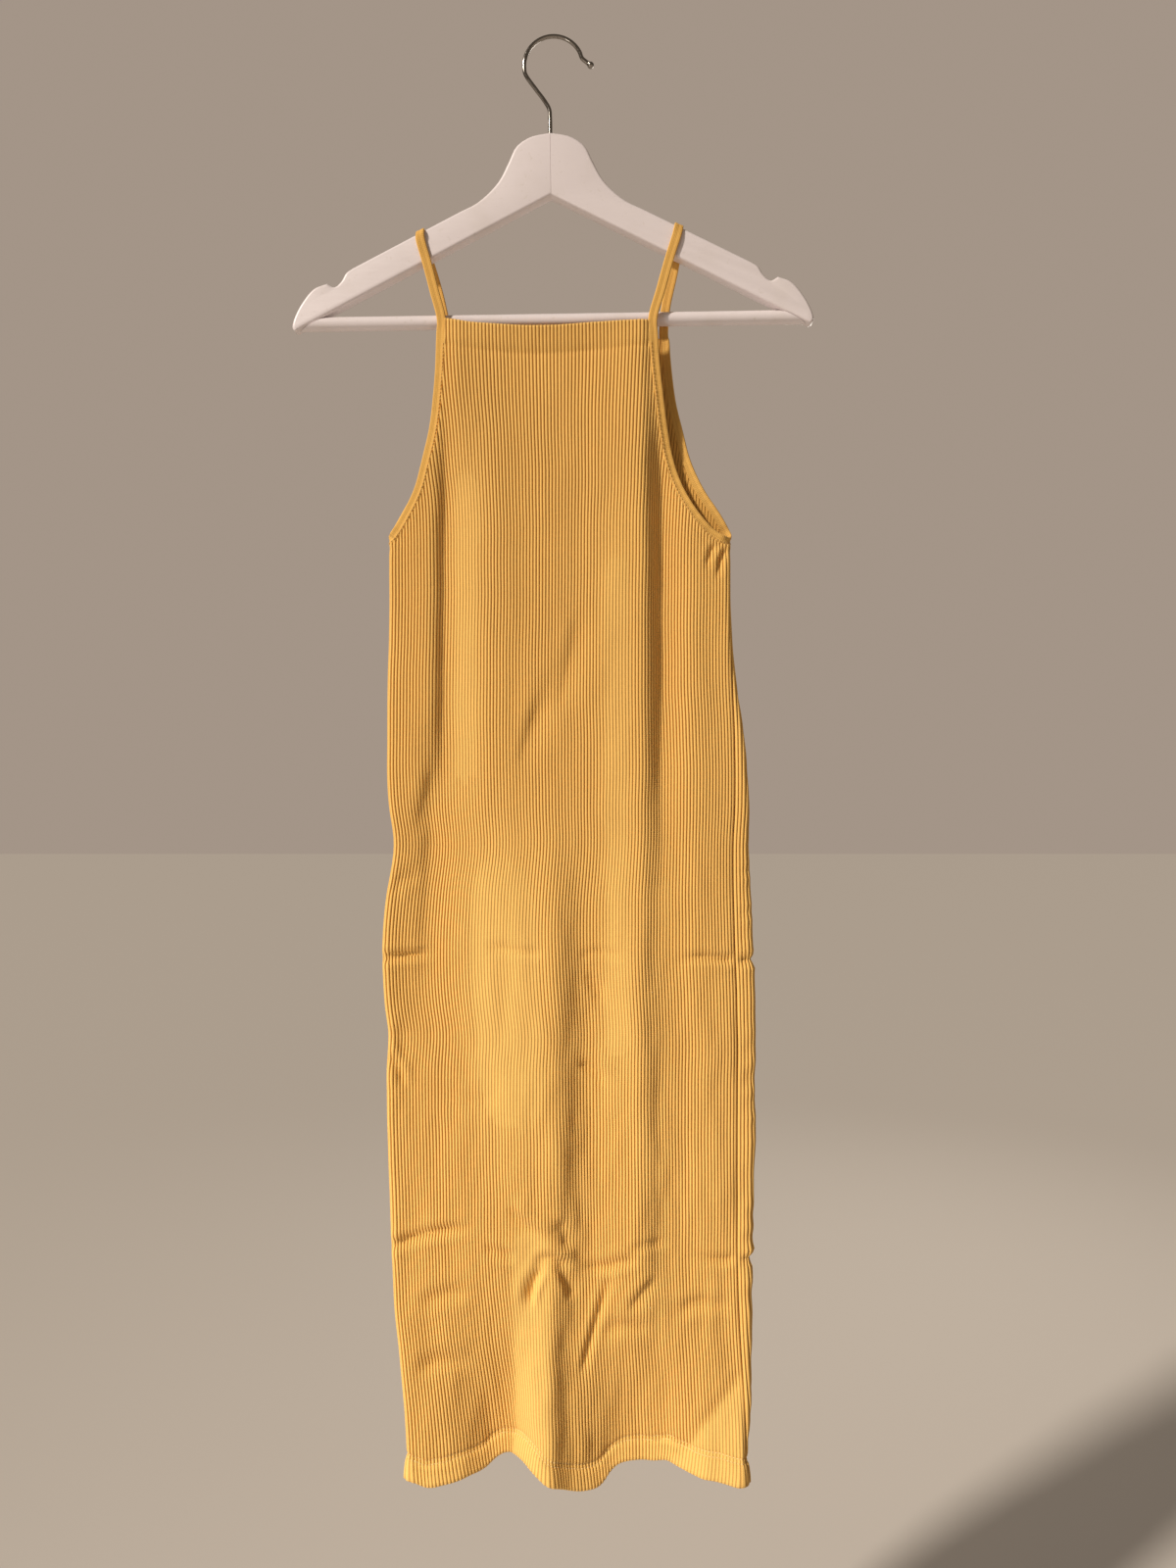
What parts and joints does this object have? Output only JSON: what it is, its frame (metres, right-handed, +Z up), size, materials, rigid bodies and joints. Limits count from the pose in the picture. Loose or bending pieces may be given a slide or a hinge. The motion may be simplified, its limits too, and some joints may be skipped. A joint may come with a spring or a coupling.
{
  "type": "ribbed midi dress on a wooden hanger",
  "caption": "Sleeveless ribbed-knit midi dress with thin straps and a straight neckline, hanging on a white wooden hanger with a metal hook.",
  "frame": {"origin": "inner top of the hook, where a peg or rail carries it", "axes": "+Z up, +X to the viewer's right seen from the front, -Y out of the dress's front"},
  "size_m": [0.4258, 0.0401, 1.1842],
  "materials": {
    "rib_knit": "soft rib knit, matt with a slight sheen",
    "binding": "folded knit strip, matt",
    "white_wood": "satin white paint",
    "hook_metal": "polished"
  },
  "bodies": {
    "root": {"front_panel": "rib_knit", "back_panel": "rib_knit", "left_strap": "binding", "right_strap": "binding", "hanger_body": "white_wood", "hanger_bar": "white_wood", "hanger_hook": "hook_metal"}
  },
  "joints": []
}
